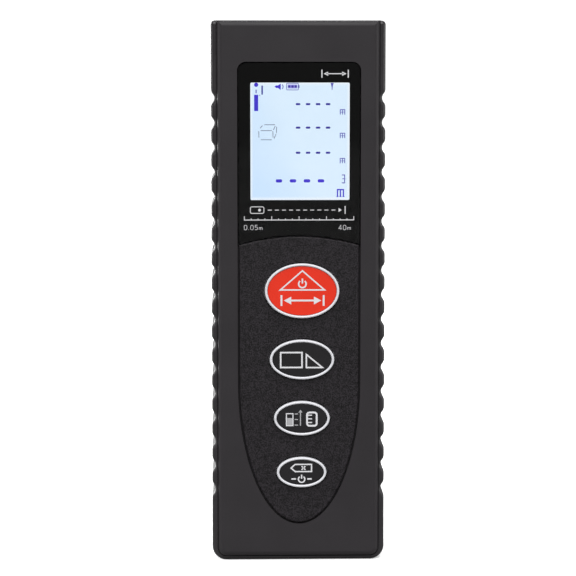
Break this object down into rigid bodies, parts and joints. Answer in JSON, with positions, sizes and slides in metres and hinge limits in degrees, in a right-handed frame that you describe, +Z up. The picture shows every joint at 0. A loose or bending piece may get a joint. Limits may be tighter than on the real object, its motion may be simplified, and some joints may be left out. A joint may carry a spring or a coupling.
{
  "type": "laser distance meter",
  "caption": "Slim hand-held laser distance meter with a display window, oval keys, a scalloped grip band, a battery door and end-mounted optics.",
  "frame": {"origin": "centre of the flat base the instrument stands on, halfway across its width and halfway through its housing's depth", "axes": "+Z up along the length, towards the beam end; -Y out of the display face; +X to the right of someone who faces the display"},
  "size_m": [0.04, 0.0237, 0.125],
  "materials": {
    "body_plastic": "satin",
    "band_rubber": "satin",
    "window_clear": "gloss",
    "mask_black": "gloss",
    "tape_grey": "matte",
    "keypad_satin": "satin",
    "key_white": "satin",
    "key_red": "satin",
    "key_dark": "satin",
    "silicone_grey": "matte",
    "carbon_pill": "matte",
    "board_green": "satin",
    "pad_gold": "satin",
    "chip_black": "matte",
    "chip_part_tan": "satin",
    "shield_steel": "satin",
    "display_glass": "gloss",
    "display_film": "satin",
    "guide_acrylic": "gloss",
    "lamp_white": "gloss",
    "tray_white": "matte",
    "connector_pink": "matte",
    "optics_black": "matte",
    "bezel_black": "satin",
    "lens_glass": "gloss",
    "barrel_brass": "satin",
    "can_gold": "gloss",
    "cell_wrap": "gloss",
    "contact_nickel": "gloss",
    "door_plastic": "satin",
    "foam_grey": "matte",
    "screw_steel": "satin",
    "label_silver": "satin"
  },
  "bodies": {
    "instrument": {"front_housing": "body_plastic", "rear_housing": "body_plastic", "bumper_band": "band_rubber", "display_window": "window_clear", "window_mask": "mask_black", "window_adhesive": "tape_grey", "keypad_plate": "keypad_satin", "keypad_mat": "silicone_grey", "main_pcb": "board_green", "key_contacts": "pad_gold", "mcu_chip": "chip_black", "smd_components": "chip_part_tan", "buzzer": "chip_black", "shield_can": "shield_steel", "lcd_glass": "display_glass", "lcd_polarizer": "display_film", "backlight_guide": "guide_acrylic", "backlight_leds": "lamp_white", "backlight_frame": "tray_white", "zebra_connector": "connector_pink", "optics_block": "optics_black", "receiver_lens": "lens_glass", "lens_retainer": "optics_black", "laser_sleeve": "barrel_brass", "emitter_lens": "lens_glass", "laser_diode": "can_gold", "photodiode": "can_gold", "receiver_board": "board_green", "optics_bezel": "bezel_black", "receiver_window": "lens_glass", "emitter_window": "lens_glass", "battery_left": "cell_wrap", "battery_right": "cell_wrap", "positive_terminal": "contact_nickel", "negative_terminal": "contact_nickel", "battery_bridge": "contact_nickel", "housing_screws": "screw_steel", "pcb_screws": "screw_steel", "optics_screws": "screw_steel", "rating_label": "label_silver"},
    "measure_key": {"measure_key_cap": "key_white", "measure_key_inlay": "key_red", "measure_key_boss": "silicone_grey", "measure_key_pill": "carbon_pill"},
    "area_key": {"area_key_cap": "key_white", "area_key_inlay": "key_dark", "area_key_boss": "silicone_grey", "area_key_pill": "carbon_pill"},
    "reference_key": {"reference_key_cap": "key_white", "reference_key_inlay": "key_dark", "reference_key_boss": "silicone_grey", "reference_key_pill": "carbon_pill"},
    "clear_key": {"clear_key_cap": "key_white", "clear_key_inlay": "key_dark", "clear_key_boss": "silicone_grey", "clear_key_pill": "carbon_pill"},
    "door": {"battery_door": "door_plastic", "door_foam_pad": "foam_grey"}
  },
  "joints": [
    {"name": "measure_key_press", "type": "slide", "parent": "instrument", "child": "measure_key", "axis": [0, 1, 0], "range_m": [0, 0.0008], "stiffness_N_per_m": 1800},
    {"name": "area_key_press", "type": "slide", "parent": "instrument", "child": "area_key", "axis": [0, 1, 0], "range_m": [0, 0.0008], "stiffness_N_per_m": 1500},
    {"name": "reference_key_press", "type": "slide", "parent": "instrument", "child": "reference_key", "axis": [0, 1, 0], "range_m": [0, 0.0008], "stiffness_N_per_m": 1500},
    {"name": "clear_key_press", "type": "slide", "parent": "instrument", "child": "clear_key", "axis": [0, 1, 0], "range_m": [0, 0.0008], "stiffness_N_per_m": 1500},
    {"name": "door_hinge", "type": "hinge", "parent": "instrument", "child": "door", "pos_m": [0, 0.0107, 0.0127], "axis": [-1, 0, 0], "range_deg": [0, 90]}
  ]
}
